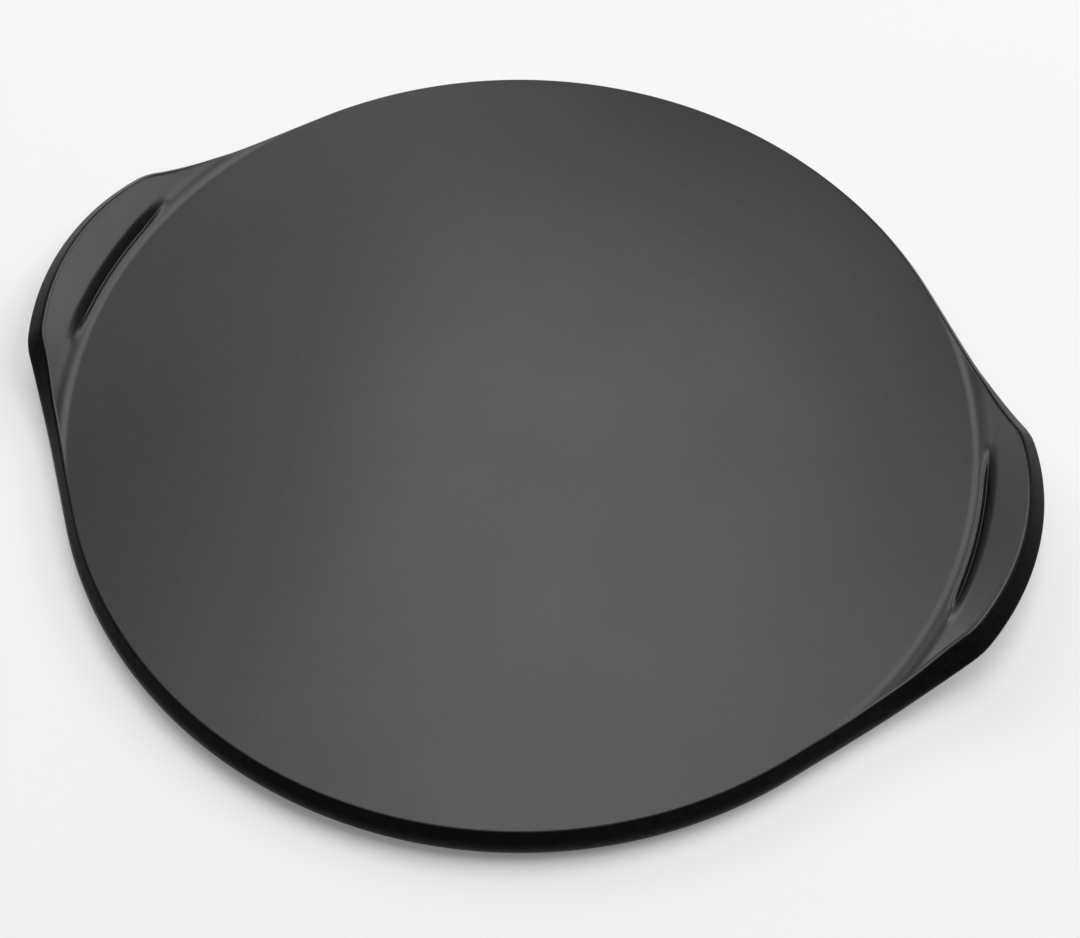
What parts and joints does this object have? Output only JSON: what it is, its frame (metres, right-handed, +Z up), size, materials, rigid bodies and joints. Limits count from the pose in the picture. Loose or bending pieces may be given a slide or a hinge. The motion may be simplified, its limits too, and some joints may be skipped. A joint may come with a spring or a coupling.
{
  "type": "pizza stone",
  "caption": "Round glazed baking plate with a flat upper face, rounded edge and two raised grips with thumb grooves, for baking pizza in an oven or on a grill.",
  "frame": {"origin": "middle of the round, on the flat foot that it rests on", "axes": "+X along the two grips, +Y across them, +Z up, out of the baking face"},
  "size_m": [0.41, 0.365, 0.0265],
  "materials": {
    "glaze": "near-black satin glaze"
  },
  "bodies": {
    "root": {"stone": "glaze"}
  },
  "joints": []
}
